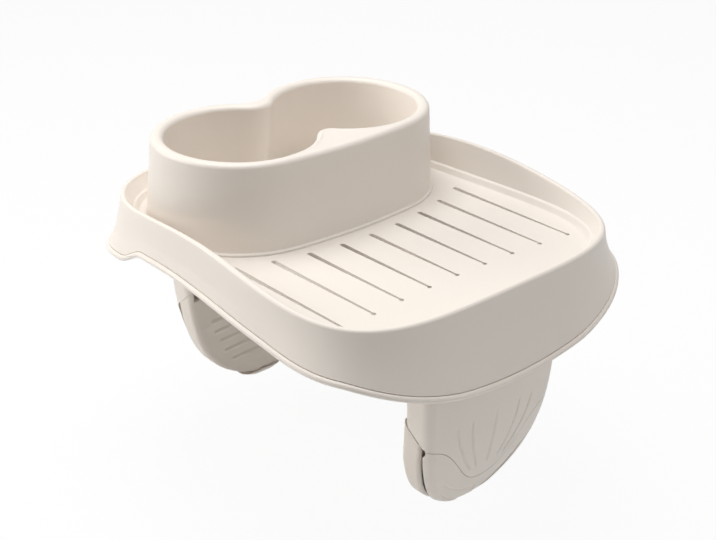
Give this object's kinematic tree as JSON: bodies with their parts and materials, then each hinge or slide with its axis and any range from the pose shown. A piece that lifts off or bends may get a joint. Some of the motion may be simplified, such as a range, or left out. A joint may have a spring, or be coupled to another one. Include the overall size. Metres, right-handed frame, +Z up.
{
  "type": "hot tub tray",
  "caption": "Moulded drinks and snack tray that straddles a hot tub wall, with a twin-well cup holder, a slotted deck and clamp legs with sliding feet.",
  "frame": {"origin": "middle of the flat saddle pad under the deck, where the tray rests on top of the tub wall", "axes": "+Z up, +X towards the open slotted deck end, -X towards the cup holder end, Y along the tub wall"},
  "size_m": [0.2622, 0.2234, 0.177],
  "materials": {
    "cream_shell": "satin",
    "cream_grip": "matte",
    "screw_steel": "satin"
  },
  "bodies": {
    "tray": {"tray_shell": "cream_shell", "cup_holder": "cream_shell", "leg_stem_deck_end": "cream_shell", "leg_stem_cup_end": "cream_shell", "leg_screw_deck_end_1": "screw_steel", "leg_screw_deck_end_2": "screw_steel", "leg_screw_deck_end_3": "screw_steel", "leg_screw_deck_end_4": "screw_steel", "leg_screw_cup_end_1": "screw_steel", "leg_screw_cup_end_2": "screw_steel", "leg_screw_cup_end_3": "screw_steel", "leg_screw_cup_end_4": "screw_steel", "cup_holder_screw_1": "screw_steel", "cup_holder_screw_2": "screw_steel"},
    "boot_deck_end": {"boot_shell_deck_end": "cream_shell", "grip_plate_deck_end": "cream_grip"},
    "boot_cup_end": {"boot_shell_cup_end": "cream_shell", "grip_plate_cup_end": "cream_grip"}
  },
  "joints": [
    {"name": "boot_slide_deck_end", "type": "slide", "parent": "tray", "child": "boot_deck_end", "axis": [0, 0, -1], "range_m": [0, 0.024]},
    {"name": "boot_slide_cup_end", "type": "slide", "parent": "tray", "child": "boot_cup_end", "axis": [0, 0, -1], "range_m": [0, 0.024]}
  ]
}
